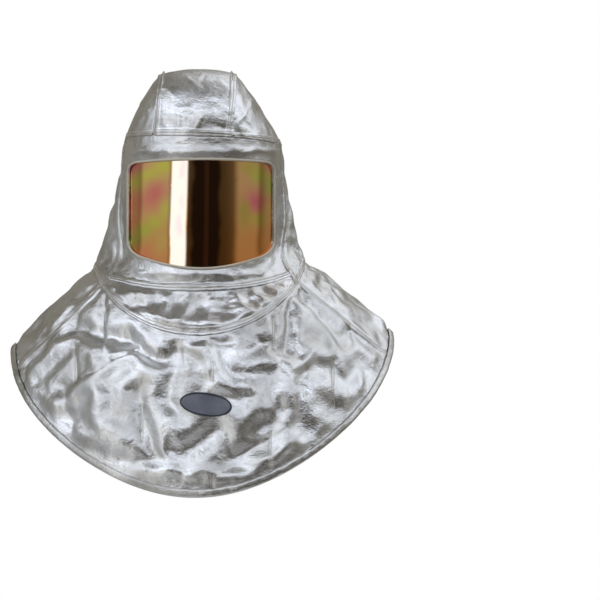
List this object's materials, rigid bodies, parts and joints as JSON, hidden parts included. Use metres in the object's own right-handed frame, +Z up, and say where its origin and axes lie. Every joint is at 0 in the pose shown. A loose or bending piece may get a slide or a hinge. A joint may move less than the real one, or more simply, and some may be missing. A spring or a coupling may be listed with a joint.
{
  "type": "aluminized hood",
  "caption": "Soft reflective fire-proximity hood with a three-panel crown, curved gold face window, chin panel, lined shoulder skirt and bound hem.",
  "frame": {"origin": "where the top of the head or helmet carries the crown, on the inner face of its lining", "axes": "+Z up, the window faces -Y, +X towards the right of the front view"},
  "size_m": [0.5742, 0.4434, 0.6234],
  "materials": {
    "shell": "aluminized film on woven cloth, creased and mirror-like",
    "trim": "folded aluminized strip with overlock stitches",
    "lining": "matte plain-woven aramid",
    "window": "gold-coated polycarbonate, polished",
    "patch": "bare grey woven patch with a darker edge"
  },
  "bodies": {
    "root": {"crown_strip": "shell", "crown_side_left": "shell", "crown_side_right": "shell", "face_panel": "shell", "chin_panel": "shell", "head_side_left": "shell", "head_side_right": "shell", "head_back": "shell", "window_bead": "trim", "window": "window", "bib": "shell", "shoulder_left": "shell", "shoulder_right": "shell", "skirt_back": "shell", "hem_binding": "trim", "patch": "patch", "crown_lining": "lining", "head_lining": "lining", "skirt_lining": "lining"}
  },
  "joints": []
}
